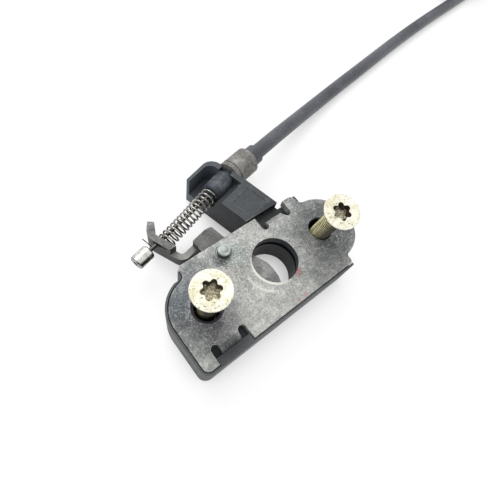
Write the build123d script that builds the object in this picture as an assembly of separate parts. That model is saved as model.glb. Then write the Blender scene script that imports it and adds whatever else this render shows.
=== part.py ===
from build123d import *
from math import cos, radians, sin, tan
import os

# Seat latch of a motorcycle, in millimetres. The origin is on the axis of the striker hole at the
# underside of the housing. X runs along the plate towards the right screw, Y towards the cable
# bracket, and Z up out of the plate.

# Heights of the stack
plate_top = 14.0
plate_thick = 3.0
plate_under = plate_top - plate_thick
rim_top = 13.7
sheet_thick = 2.1
pawl_gap = 0.2
pawl_top = plate_under - pawl_gap
pawl_under = pawl_top - sheet_thick
cavity_floor = pawl_under - pawl_gap

# Steel plate
striker_r = 7.5
plate_long = 57.7
plate_left = -36.7
plate_right_near = plate_left + plate_long
plate_right = plate_right_near - 0.9
plate_far = 15.0
plate_near = -15.0
shoulder_x = plate_left + 10.5
lobe_left_r = 10.9
lobe_right_at = (plate_right_near - 0.7, -0.5)
lobe_right_r = 11.5
screw_left_at = (plate_left + lobe_left_r, 0.0)
screw_right_at = (plate_right_near - 1.2, 0.0)
screw_hole_r = 3.95
countersink_left_r = 5.0
countersink_right_r = 4.3
slot_width = 2.7
tongue_width = 6.7
recess_width = 2 * slot_width + tongue_width
recess_far_x = 3.5
recess_near_x = plate_left + 4.4
slot_depth = 5.4
tongue_gap_far = 2.7
tongue_gap_near = 2.1
tongue_flat = 0.9
tongue_drop = 1.6

# Moulded housing round the plate
reach = 60.0
rim_gap = 0.3
rim_out = 0.95
rim_end_x = plate_right_near - 0.4
lobe_inset = 0.6
housing_far = 14.4
passage_play = 0.35
screw_play = 0.2
core_depth = 5.0
core_wall = 1.8
boss_wall = 1.6
rib_half = 0.6

# Rivet that the pawl turns on
pivot_at = (-11.9, 11.0)
pivot_r = 2.0
pivot_clearance = 0.05
rivet_top = 16.4
rivet_foot = 3.0

# Room in the housing for the pawl, from the rivet
swing_room = [(-8.2, 8.0), (-8.2, -14.0), (-8.8, -21.5), (-7.0, -23.8), (10.9, -23.8), (12.0, -11.0),
              (9.6, -3.0), (9.6, 8.0)]

# Cable bracket, in axes turned by cable_turn about Z: u along the cable, v across it
cable_turn = 15.0
cable_v = 31.2
cable_z = 9.9
bracket_u0 = 4.7
bracket_u1 = 17.3
pad_y = 15.55
pad_core_v = 20.0
pad_wall = 2.0
pad_v = cable_v - 6.3
trough_low_v = cable_v + 0.8
trough_v = cable_v + 7.4
trough_floor = 4.5
far_wall = 1.1
bracket_v = trough_v + far_wall
bracket_corner_r = 4.3
far_wall_top = 12.6
back_wall = 2.1
notch_near = 1.4
notch_far = 3.3
panel_u0 = 7.3
panel_u1 = 15.4
panel_v0 = 14.6
panel_v1 = 22.5
panel_deep = 0.25

# Sleeve that seats the spring
guide_r = 3.6
guide_play = 0.1
guide_neck_r = 2.6
guide_bore_r = 1.25
guide_u0 = 7.2
spigot_r = 2.0
spigot_long = 1.2

# The cable's ferrule, which hangs a little out of the bracket's line
ferrule_turn = 11.5
ferrule_droop = 1.5
barrel_r = 4.9
barrel_long = 10.8
barrel_groove = 1.4
collar_r = 3.6
collar_long = 4.3
ferrule_bore_r = 1.6

# Cable: the core wire runs at wire_turn from the mouth of the sleeve to its nipple
wire_r = 0.7
wire_turn = 13.4
wire_inside = 7.0
nipple_r = 2.35
nipple_long = 5.7
nipple_behind_ear = 7.0
nipple_hole_r = 0.8
conduit_r = 2.75

# Return spring
spring_outer_r = 2.9
spring_wire_r = 0.3
spring_turns = 13.5
spring_turn = 16.9
spring_to_ear = 1.4
spring_sides = 6

# Pawl: one sheet that is folded into a tab, an arm, an ear and a prong
arm_under = 2.4
arm_top = 7.3
ear_top = 11.4
arm_start = (-10.6, 20.75)
arm_corner = (-21.45, 18.45)
arm_bend_r = 2.3
ear_turn = 114.2
ear_past_wire = 3.5
prong_turn = 52.0
prong_long = 4.5
prong_bend_r = 3.5
tab_left = -16.3
tab_step = 4.0
blade_points = [(5.6, 1.5), (8.0, -4.3), (9.3, -6.95), (10.6, -9.6), (10.9, -12.4), (10.7, -15.1),
                (10.05, -17.3), (8.5, -20.4), (4.5, -21.6), (2.5, -17.5), (-0.3, -10.0), (-4.6, -1.0),
                (-4.4, 2.0), (-4.4, 9.3), (1.7, 10.7), (3.3, 10.4), (4.5, 5.2)]
blade_tip_r = 1.2
tab_corner_r = 0.6
ear_slot_before = 3.3
ear_slot_after = 1.6
ear_slot_tall = 1.8

# Screws M6 x 30 with a countersunk head and a six-lobe socket
screw_r = 3.0
screw_core_r = 2.7
screw_neck = 1.2
screw_head_r = 5.6
screw_long = 30.0
screw_edge = 0.4
socket_r = 2.9
socket_lobe_r = 0.8
socket_deep = 2.6
screw_left_head = (screw_left_at[0] - 0.1, -0.1)
screw_left_tip = (screw_left_at[0] + 0.45, 0.55)
screw_right_head = (screw_right_at[0] - 1.05, -2.7)
screw_right_tip = (screw_right_at[0] + 0.35, 0.95)

# Route of the conduit on the table, from the ferrule to the coil, and from the coil to its end
straight_run = 9.5
route = [
    (46.0, 42.85, 6.8),
    (62.0, 46.7, 4.1),
    (80.0, 50.25, 2.95),
    (106.0, 54.4, 2.8),
    (134.0, 58.9, 2.8),
    (162.0, 62.5, 2.8),
    (190.5, 65.35, 2.8),
]
coil_join = (219.0, 68.1)
coil_heading = 5.5
coil_mean_r = 28.0
coil_tall = 4 * conduit_r + 0.1
tail_r = 22.5
tail_step = 25.0
tail_rise = [2.75, 2.9, 2.95, 2.9, 2.85, 2.8]
far_ferrule_r = 3.4
far_ferrule_long = 11.0
far_wire_long = 8.5


def rect(x0, x1, y0, y1):
    """Rectangle between two corners."""
    return Pos((x0 + x1) / 2, (y0 + y1) / 2) * Rectangle(x1 - x0, y1 - y0)


def disc(at, radius):
    """Circle about a point given as x and y."""
    return Pos(at[0], at[1]) * Circle(radius)


def prism(sketch, z0, z1):
    """Flat shape drawn up from z0 to z1."""
    return Pos(0, 0, z0) * extrude(sketch, amount=z1 - z0, dir=(0, 0, 1))


def round_corners(sketch, corners):
    """Round the corner nearest to each (x, y), with its radius."""
    for x, y, radius in corners:
        corner = min(sketch.vertices(), key=lambda v: (v.X - x) ** 2 + (v.Y - y) ** 2)
        sketch = fillet(corner, radius)
    return sketch


def along(turn, u, v, z):
    """Location on the cable's line: local X along it, turned about Z."""
    return Rot(0, 0, turn) * Pos(u, v, z)


def rod(radius, length):
    """Cylinder that starts at the origin and runs along +X."""
    return Rot(0, 90, 0) * Cylinder(radius, length, align=(Align.CENTER, Align.CENTER, Align.MIN))


def plate_outline(grow):
    """Outline of the plate without its recesses, grown outward by grow."""
    body = rect(shoulder_x - grow, plate_right + grow, plate_near - grow, plate_far + grow)
    left_foot = rect(plate_left - grow, shoulder_x + 2, plate_near - grow, 0)
    right_foot = rect(0, plate_right_near + grow, plate_near - grow, 0)
    outline = body + left_foot + right_foot
    outline += disc(screw_left_at, screw_left_at[0] - plate_left + grow)
    outline += disc(lobe_right_at, lobe_right_r + grow)
    lobe_y = lobe_right_r + grow

    def convex(radius):
        return max(radius + grow, 0.2)

    def concave(radius):
        return min(radius - grow, 2.3)

    return round_corners(outline, [
        (plate_left - grow, plate_near - grow, convex(2.0)),
        (plate_right_near + grow, plate_near - grow, convex(1.2)),
        (plate_right + grow, plate_far + grow, convex(1.9)),
        (shoulder_x - grow, plate_far + grow, convex(1.6)),
        (shoulder_x - grow, lobe_left_r + grow, concave(2.0)),
        (plate_right + grow, lobe_right_at[1] + lobe_y, concave(2.0)),
        (plate_right_near + grow, lobe_right_at[1] - lobe_y, concave(1.2)),
    ])


def clip_recess(x_left, edge_y, side, tongue_gap):
    """Two round-ended slots beside a short tongue. Side is 1 at the far edge and -1 at the near."""
    outside = edge_y + side * 2
    tip = edge_y - side * tongue_gap
    end = edge_y - side * (slot_depth - slot_width / 2)
    cut = rect(x_left, x_left + recess_width, min(tip, outside), max(tip, outside))
    for x in (x_left + slot_width / 2, x_left + recess_width - slot_width / 2):
        cut += rect(x - slot_width / 2, x + slot_width / 2, min(end, outside), max(end, outside))
        cut += disc((x, end), slot_width / 2)
    return cut


def tongue_slope(x_left, edge_y, side, tongue_gap):
    """Wedge that takes the top of a tongue down towards its tip, as it is pressed in."""
    root = edge_y - side * (slot_depth - tongue_flat)
    tip = edge_y - side * (tongue_gap - 0.2)
    x0 = x_left + slot_width - 0.05
    face = Polygon((root, plate_top), (tip, plate_top + 0.5), (tip, plate_top - tongue_drop), align=None)
    return Pos(x0, 0, 0) * extrude(Plane.YZ * face, amount=tongue_width + 0.1, dir=(1, 0, 0))


def latch_plate():
    """Steel plate with the striker hole, the screw holes and the two clip recesses."""
    plate = prism(plate_outline(0), plate_under, plate_top)
    top = plate.faces().sort_by(Axis.Z)[-1]
    plate = chamfer(top.edges(), 0.25)
    for x, y, side, gap in ((recess_far_x, plate_far, 1, tongue_gap_far),
                            (recess_near_x, plate_near, -1, tongue_gap_near)):
        plate -= prism(clip_recess(x, y, side, gap), plate_under - 1, plate_top + 1)
        plate -= tongue_slope(x, y, side, gap)
    plate -= prism(disc((0, 0), striker_r), plate_under - 1, plate_top + 1)
    for (x, y), sink_r in ((screw_left_at, countersink_left_r), (screw_right_at, countersink_right_r)):
        plate -= prism(disc((x, y), screw_hole_r), plate_under - 1, plate_top + 1)
        plate -= Pos(x, y, plate_top) * Cone(screw_hole_r, sink_r, sink_r - screw_hole_r,
                                            align=(Align.CENTER, Align.CENTER, Align.MAX))
    plate -= prism(disc(pivot_at, pivot_r), plate_under - 1, plate_top + 1)
    plate -= prism(disc(pivot_at, pivot_r + 0.75), plate_top - 0.35, plate_top + 1)
    return plate


def pivot_rivet():
    """Steel rivet that is held in the housing and the plate."""
    rivet = prism(disc(pivot_at, pivot_r), rivet_foot, rivet_top)
    return chamfer(rivet.faces().sort_by(Axis.Z)[-1].edges(), 0.3)


def housing_outline():
    """Outline of the moulded body: a rim round the plate, but not at its far side and right lobe."""
    outline = plate_outline(rim_out) - rect(rim_end_x, reach, -reach, reach)
    outline += plate_outline(-lobe_inset) & rect(0, reach, -reach, reach)
    outline -= rect(-reach, reach, housing_far, reach)
    wedge_left = shoulder_x - 2.5
    wedge_right = shoulder_x + 2.3
    outline -= rect(-reach, wedge_right, lobe_left_r + 0.4, reach)
    outline += Polygon((wedge_left, lobe_left_r - 0.3), (shoulder_x, housing_far), (wedge_right, housing_far),
                       (wedge_right, lobe_left_r - 3), (wedge_left, lobe_left_r - 3), align=None)
    return outline


def cavity_outline():
    """Room that the pawl swings in, open on the far side."""
    return Polygon(*[(pivot_at[0] + dx, pivot_at[1] + dy) for dx, dy in swing_room], align=None)


def underside_cores():
    """Pockets in the underside, between the walls, ribs and bosses."""
    cores = plate_outline(rim_out - core_wall) - rect(rim_end_x - core_wall, reach, -reach, reach)
    cores += plate_outline(-lobe_inset - core_wall) & rect(0, reach, -reach, reach)
    cores -= rect(-reach, reach, housing_far - core_wall, reach)
    cores -= disc((0, 0), striker_r + passage_play + boss_wall)
    cores -= disc(pivot_at, pivot_r + boss_wall)
    for at in (screw_left_at, screw_right_at):
        cores -= disc(at, screw_hole_r + screw_play + boss_wall)
    for x in (plate_left + 6.2, plate_left + 18.2, pivot_at[0] + 1.9, striker_r + 3, lobe_right_at[0] + 5.2):
        cores -= rect(x - rib_half, x + rib_half, -reach, reach)
    for y in (-striker_r, pivot_at[1] / 2):
        cores -= rect(-reach, reach, y - rib_half, y + rib_half)
    return cores


def cable_bracket():
    """Bracket in one piece with the housing: a pad, and a trough that is open to the left and above."""
    swing = Rot(0, 0, cable_turn)
    inner_u = bracket_u1 - back_wall
    plan = rect(bracket_u0, bracket_u1, 2, bracket_v)
    plan = swing * round_corners(plan, [(bracket_u1, bracket_v, bracket_corner_r)])
    tall = plan - rect(-reach, reach, -reach, pad_y)
    foot = plan & rect(-reach, reach, housing_far - 1, pad_y)
    bracket = prism(tall, 0, plate_top) + prism(foot, 0, pawl_top)
    section = Polygon((pad_v, reach), (pad_v, plate_top), (trough_low_v, trough_floor),
                      (trough_v, trough_floor), (trough_v, reach), align=None)
    room = rect(-reach, inner_u, 2, trough_v)
    room = round_corners(room, [(inner_u, trough_v, bracket_corner_r - far_wall)])
    trough = extrude(Plane.YZ * section, amount=reach, dir=(1, 0, 0)) & prism(room, 0, reach)
    trough += Pos(0, cable_v, cable_z) * rod(guide_r + guide_play, inner_u)
    trough += prism(rect(inner_u - 1, reach, cable_v - notch_near, cable_v + notch_far), cable_z, reach)
    trough += prism(rect(0, reach, cable_v + notch_far - 0.1, reach), far_wall_top, reach)
    trough += Pos(inner_u - 1, cable_v, cable_z) * rod(guide_neck_r, back_wall + 2)
    trough += prism(rect(bracket_u0 + pad_wall, inner_u, pad_core_v, pad_v - pad_wall), -1,
                    plate_top - pad_wall)
    bracket -= swing * trough
    panel = swing * rect(panel_u0, panel_u1, panel_v0, panel_v1) - rect(-reach, reach, -reach, pad_y + 0.4)
    return bracket - prism(panel, plate_top - panel_deep, plate_top + 1)


def housing():
    """Black moulded body: tray for the plate, swing room for the pawl, bracket for the cable."""
    body = prism(housing_outline(), 0, rim_top)
    body -= prism(plate_outline(rim_gap), plate_under, rim_top + 1)
    lip_x = recess_near_x + 0.25
    lip_y = plate_near + tongue_gap_near - 0.2
    body += prism(rect(lip_x, lip_x + recess_width - 0.6, plate_near - 0.6, lip_y), plate_under - 1, rim_top)
    body += cable_bracket()
    body -= prism(cavity_outline(), cavity_floor, plate_under + 0.01)
    body -= prism(disc((0, 0), striker_r + passage_play), -1, cavity_floor + 0.01)
    body -= prism(disc((0, 0), striker_r + passage_play + 0.75), cavity_floor, plate_under + 1)
    for at in (screw_left_at, screw_right_at):
        body -= prism(disc(at, screw_hole_r + screw_play), -1, plate_under + 1)
    body -= prism(disc(pivot_at, pivot_r), rivet_foot, plate_under + 1)
    body -= prism(underside_cores(), -1, core_depth)
    return body


def pawl():
    """Pawl and release lever, folded from one sheet: blade, tab, arm, ear and prong."""
    x, y = pivot_at
    blade = Polygon(*[(x + dx, y + dy) for dx, dy in blade_points], align=None)
    tips = [(*blade_points[7], blade_tip_r), (*blade_points[8], blade_tip_r), (*blade_points[15], tab_corner_r)]
    blade = round_corners(blade, [(x + dx, y + dy, radius) for dx, dy, radius in tips])
    sheet = prism(blade, pawl_under, pawl_top)
    wire_meets_ear = meeting(wire_turn)[1]
    ear_corner = moved(arm_corner, ear_turn, wire_meets_ear + ear_past_wire)
    prong_tip = moved(ear_corner, prong_turn, prong_long)
    path = FilletPolyline(arm_start, arm_corner, ear_corner, prong_tip, radius=[arm_bend_r, prong_bend_r])
    first = Vector(*arm_corner) - Vector(*arm_start)
    cross = Plane(origin=arm_start, x_dir=(-first.Y, first.X, 0), z_dir=(first.X, first.Y, 0))
    strip = sweep(cross * Rectangle(sheet_thick, 2 * ear_top), path=path)
    strip &= Pos(0, 0, (arm_under + ear_top) / 2) * Box(2 * reach, 2 * reach, ear_top - arm_under)
    arm_gap = rect(arm_corner[0] - 3.2, tab_left, arm_corner[1] - 4, arm_corner[1] + 3.3)
    strip -= prism(arm_gap, arm_top, ear_top + 1)
    strip -= prism(rect(tab_left - 0.1, 0, y + tab_step, y + reach), pawl_top, ear_top + 1)
    lever = sheet + strip
    slot_mid = moved(arm_corner, ear_turn, wire_meets_ear + (ear_slot_after - ear_slot_before) / 2)
    slot = Box(ear_slot_before + ear_slot_after, 3 * sheet_thick, ear_slot_tall)
    lever -= Pos(*slot_mid, cable_z) * Rot(0, 0, ear_turn) * slot
    lever -= prism(disc(pivot_at, pivot_r + pivot_clearance), pawl_under - 1, pawl_top + 1)
    return lever


def moved(at, turn, distance):
    """Point at a distance from another, in the direction of turn."""
    return (at[0] + distance * cos(radians(turn)), at[1] + distance * sin(radians(turn)))


def on_cable(u):
    """Point on the cable's line through the bracket."""
    turn = radians(cable_turn)
    return (u * cos(turn) - cable_v * sin(turn), u * sin(turn) + cable_v * cos(turn), cable_z)


def meeting(turn):
    """Where a line at turn from the sleeve's mouth meets the ear: how far along it, and along the ear."""
    mouth = on_cable(guide_u0)
    dx = mouth[0] - arm_corner[0]
    dy = mouth[1] - arm_corner[1]
    wire = radians(turn)
    ear = radians(ear_turn)
    across = sin(ear - wire)
    return ((dx * sin(ear) - dy * cos(ear)) / across, (dy * cos(wire) - dx * sin(wire)) / across)


def on_wire(distance):
    """Location on the core wire, distance to the left of the sleeve's mouth, X along the wire."""
    return Pos(*on_cable(guide_u0)) * Rot(0, 0, wire_turn) * Pos(-distance, 0, 0)


def cable_guide():
    """Black sleeve that carries the core wire through the bracket and seats the spring."""
    inner_u = bracket_u1 - back_wall
    sleeve = along(cable_turn, guide_u0, cable_v, cable_z) * rod(guide_r, inner_u - guide_u0)
    sleeve = chamfer(sleeve.faces().sort_by(Axis.X)[0].edges(), 0.4)
    sleeve += along(cable_turn, inner_u - 0.5, cable_v, cable_z) * rod(guide_neck_r, back_wall + 0.5)
    sleeve += along(cable_turn, guide_u0 - spigot_long, cable_v, cable_z) * rod(spigot_r, spigot_long + 0.5)
    sleeve -= along(cable_turn, guide_u0 - 4, cable_v, cable_z) * rod(guide_bore_r, 30)
    return sleeve


def on_ferrule(distance):
    """Location on the axis of the ferrule, distance out of the bracket, X along it."""
    return Pos(*on_cable(bracket_u1)) * Rot(0, 0, ferrule_turn) * Rot(0, ferrule_droop, 0) * Pos(distance, 0, 0)


def ferrule_barrel():
    """Steel barrel that is crimped on the conduit and butts on the bracket."""
    barrel = on_ferrule(-1) * rod(barrel_r, barrel_long + 1)
    barrel = chamfer(barrel.faces().sort_by(Axis.X)[-1].edges(), 0.9)
    groove = rod(barrel_r + 1, 0.5) - rod(barrel_r - 0.3, 0.5)
    barrel -= on_ferrule(barrel_groove) * groove
    barrel -= on_ferrule(-2) * rod(ferrule_bore_r, reach)
    bracket_side = Pos(bracket_u1 - 5, cable_v, cable_z) * Box(10, 4 * barrel_r, 4 * barrel_r)
    return barrel - Rot(0, 0, cable_turn) * bracket_side


def ferrule_collar():
    """Narrow end of the ferrule, crimped on the conduit."""
    collar = on_ferrule(barrel_long) * rod(collar_r, collar_long)
    collar = chamfer(collar.faces().sort_by(Axis.X)[-1].edges(), 0.7)
    return collar - on_ferrule(barrel_long - 1) * rod(ferrule_bore_r, collar_long - 1)


def inner_wire():
    """Core wire from its nipple into the sleeve."""
    start = meeting(wire_turn)[0] + nipple_behind_ear - nipple_long / 2
    return on_wire(start) * rod(wire_r, start + wire_inside)


def nipple():
    """Bright barrel nipple on the end of the core wire."""
    start = meeting(wire_turn)[0] + nipple_behind_ear + nipple_long / 2
    barrel = on_wire(start) * rod(nipple_r, nipple_long)
    ends = barrel.faces().filter_by(GeomType.PLANE)
    barrel = chamfer(ends.edges(), 0.4)
    return barrel - on_wire(start + 1) * rod(nipple_hole_r, 2.2)


def return_spring():
    """Compression spring between the ear of the pawl and the sleeve, leaning on the core wire."""
    mean_r = spring_outer_r - spring_wire_r
    start = meeting(spring_turn)[0] - spring_to_ear
    height = start - 2 * spring_wire_r - 0.1
    coil = Helix(pitch=height / spring_turns, height=height, radius=mean_r)
    section = Plane(origin=coil @ 0, z_dir=coil % 0) * RegularPolygon(spring_wire_r, spring_sides)
    wound = sweep(section, path=coil, is_frenet=True)
    return Pos(*on_cable(guide_u0)) * Rot(0, 0, spring_turn) * Pos(-start, 0, 0) * Rot(0, 90, 0) * wound


def route_radii(points):
    """Largest arc that the two runs at each corner allow."""
    radii = []
    for before, here, after in zip(points, points[1:], points[2:]):
        run_in = Vector(*here) - Vector(*before)
        run_out = Vector(*after) - Vector(*here)
        turn = radians(run_in.get_angle(run_out))
        radii.append(0.45 * min(run_in.length, run_out.length) / tan(turn / 2))
    return radii


def tube(points, radius):
    """Round tube along straight runs that are joined by tangent arcs."""
    radii = route_radii(points)
    print("arc radii of the conduit:", [round(r) for r in radii])
    path = FilletPolyline(*points, radius=radii)
    section = Plane(origin=path @ 0, z_dir=path % 0) * Circle(radius)
    return sweep(section, path=path)


def conduit():
    """Black conduit from the ferrule to the coil, straight out of the collar at first."""
    start = barrel_long + collar_long
    out = [tuple(on_ferrule(start).position), tuple(on_ferrule(start + straight_run).position)]
    end = (coil_join[0], coil_join[1], conduit_r)
    return tube(out + route + [end], conduit_r)


def coil_centre():
    """Centre of the coil, to the left of the conduit's end."""
    return moved(coil_join, coil_heading + 90, coil_mean_r)


def conduit_coil():
    """Outer shape of the coil, two turns one on the other, that takes up the rest of the conduit."""
    ring = disc(coil_centre(), coil_mean_r + conduit_r) - disc(coil_centre(), coil_mean_r - conduit_r)
    return prism(ring, 0, coil_tall)


def tail_points():
    """Route of the conduit's end, which lies on the coil and turns inward a little."""
    centre = moved(coil_centre(), coil_heading - 90, coil_mean_r - tail_r)
    points = []
    for i, rise in enumerate(tail_rise):
        points.append((*moved(centre, coil_heading - 90 + i * tail_step, tail_r), coil_tall + rise))
    return points


def conduit_tail():
    """Last stretch of the conduit, on top of the coil."""
    return tube(tail_points(), conduit_r)


def far_location(distance):
    """Location beyond the end of the tail, X along its last run."""
    before, end = tail_points()[-2:]
    run = Vector(*end) - Vector(*before)
    along_run = Plane(origin=end, x_dir=(run.X, run.Y, 0), z_dir=(0, 0, 1))
    return along_run.location * Pos(distance, 0, 0)


def far_ferrule():
    """Ferrule on the far end of the conduit."""
    ferrule = far_location(0) * rod(far_ferrule_r, far_ferrule_long)
    return chamfer(ferrule.faces().filter_by(GeomType.PLANE).sort_by(Axis.X)[0].edges(), 0.5)


def far_wire():
    """Core wire out of the far ferrule."""
    return far_location(far_ferrule_long) * rod(wire_r, far_wire_long)


def far_nipple():
    """Nipple for the key lock, on the far end of the core wire."""
    barrel = far_location(far_ferrule_long + far_wire_long) * rod(nipple_r, nipple_long)
    return chamfer(barrel.faces().filter_by(GeomType.PLANE).edges(), 0.4)


def screw():
    """Screw on its axis, head up, tip at z = 0, with the core of its thread for a shank."""
    cone = screw_head_r - screw_r
    neck = screw_long - screw_edge - cone
    up = (Align.CENTER, Align.CENTER, Align.MIN)
    body = Cylinder(screw_core_r, neck, align=up)
    body = chamfer(body.faces().sort_by(Axis.Z)[0].edges(), 0.5)
    body += Pos(0, 0, neck - screw_neck) * Cylinder(screw_r, screw_neck, align=up)
    body += Pos(0, 0, neck) * Cone(screw_r, screw_head_r, cone, align=up)
    body += Pos(0, 0, neck + cone) * Cylinder(screw_head_r, screw_edge, align=up)
    socket = Circle(socket_r - socket_lobe_r)
    for i in range(6):
        socket += Rot(0, 0, 60 * i) * Pos(socket_r - socket_lobe_r, 0) * Circle(socket_lobe_r)
    body -= Pos(0, 0, screw_long - socket_deep) * extrude(socket, amount=socket_deep + 1)
    return body


def stood_screw(tip, head):
    """Screw that stands on its tip in its hole and leans towards its head."""
    lean = Vector(head[0] - tip[0], head[1] - tip[1], screw_long)
    side = Vector(1, 0, 0) - lean * (lean.X / lean.length ** 2)
    stood = Plane(origin=(tip[0], tip[1], 0), x_dir=side, z_dir=lean).location * screw()
    return Pos(0, 0, -stood.bounding_box().min.Z) * stood


def screw_left():
    """Left screw, nearly upright."""
    return stood_screw(screw_left_tip, screw_left_head)


def screw_right():
    """Right screw, leaning in its hole."""
    return stood_screw(screw_right_tip, screw_right_head)


pieces = {
    "housing": housing,
    "latch_plate": latch_plate,
    "pivot_rivet": pivot_rivet,
    "pawl": pawl,
    "return_spring": return_spring,
    "nipple": nipple,
    "inner_wire": inner_wire,
    "cable_guide": cable_guide,
    "ferrule_barrel": ferrule_barrel,
    "ferrule_collar": ferrule_collar,
    "conduit": conduit,
    "conduit_coil": conduit_coil,
    "conduit_tail": conduit_tail,
    "far_ferrule": far_ferrule,
    "far_wire": far_wire,
    "far_nipple": far_nipple,
    "screw_left": screw_left,
    "screw_right": screw_right,
}

os.makedirs("parts", exist_ok=True)
for name, make in pieces.items():
    solid = make()
    export_step(solid, f"parts/{name}.step")
    print(name, round(solid.volume, 1), "solids", len(solid.solids()))
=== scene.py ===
import math
import bpy
from mathutils import Matrix, Vector


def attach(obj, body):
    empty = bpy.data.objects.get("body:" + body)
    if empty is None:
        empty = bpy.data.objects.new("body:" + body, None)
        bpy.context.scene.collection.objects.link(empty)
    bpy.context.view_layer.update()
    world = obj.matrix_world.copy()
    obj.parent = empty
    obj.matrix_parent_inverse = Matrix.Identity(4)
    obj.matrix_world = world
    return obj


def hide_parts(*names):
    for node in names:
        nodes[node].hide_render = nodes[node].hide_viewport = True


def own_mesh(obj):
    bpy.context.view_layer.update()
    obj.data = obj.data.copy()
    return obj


MM = 0.001

# Frame and camera
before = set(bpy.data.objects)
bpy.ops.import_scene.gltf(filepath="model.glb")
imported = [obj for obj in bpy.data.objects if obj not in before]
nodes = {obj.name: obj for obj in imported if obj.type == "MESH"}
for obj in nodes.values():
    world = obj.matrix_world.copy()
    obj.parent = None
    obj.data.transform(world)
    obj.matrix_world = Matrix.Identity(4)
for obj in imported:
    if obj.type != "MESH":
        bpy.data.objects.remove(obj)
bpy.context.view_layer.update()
scene = bpy.context.scene
scene.view_settings.view_transform = "Standard"

CAMERA_AT = Vector((-47.99, -19.58, 118.3))
CAMERA_RIGHT = Vector((0.77339, -0.61195, 0.16550))
CAMERA_UP = Vector((0.51198, 0.75689, 0.40619))
LENS = 27.0
SENSOR_WIDTH = 36.0


def add_camera():
    """Camera of the photograph, from the plate's plan and the height of the screws."""
    back = CAMERA_RIGHT.cross(CAMERA_UP)
    data = bpy.data.cameras.new("photo_camera")
    data.lens = LENS
    data.sensor_width = SENSOR_WIDTH
    data.clip_start = 0.005
    data.clip_end = 20.0
    camera = bpy.data.objects.new("photo_camera", data)
    turn = Matrix((CAMERA_RIGHT, CAMERA_UP, back)).transposed().to_4x4()
    camera.matrix_world = Matrix.Translation(CAMERA_AT * MM) @ turn
    scene.collection.objects.link(camera)
    scene.camera = camera


add_camera()

# Places on the latch, in mm
UP = Vector((0, 0, 1))
TO_BRACKET = Vector((0, 1, 0))
FLOOR = Vector((0, 0, 0))
PLATE_TOP = 14.0
RIM_TOP = 13.7
TRAY_END = 16.0
STRIKER_AT = (0.0, 0.0)
LEFT_HOLE = (-25.8, 0.0)
RIGHT_HOLE = (19.8, 0.0)
RIVET_AT = (-11.9, 11.0)
SCREWS = {
    # tip x, y, head x, y, turn of the socket in degrees, look of the thread
    # the left screw's thread takes a darker copy of the look, painted shade
    "screw_left": ((-25.35, 0.55), (-25.9, -0.1), -23, "shaded_crest"),
    "screw_right": ((20.15, 0.95), (18.75, -2.7), 0, "thread_crest"),
}
LEFT_HEAD = Vector((*SCREWS["screw_left"][1], 0))
# Direction of the shanks' painted shade
SHADED_SIDE = Vector((0.82, -0.57, 0))
SLEEVE_MOUTH = Vector((-1.121, 32.0, 9.9))
SPRING_TURN = math.radians(16.9)
SPRING_AXIS = Vector((-math.cos(SPRING_TURN), -math.sin(SPRING_TURN), 0))


# Materials
def srgb(r, g, b):
    """Colour from sRGB 0..255 to linear."""
    out = []
    for value in (r, g, b):
        v = value / 255
        out.append(v / 12.92 if v <= 0.04045 else ((v + 0.055) / 1.055) ** 2.4)
    return (*out, 1.0)


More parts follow.
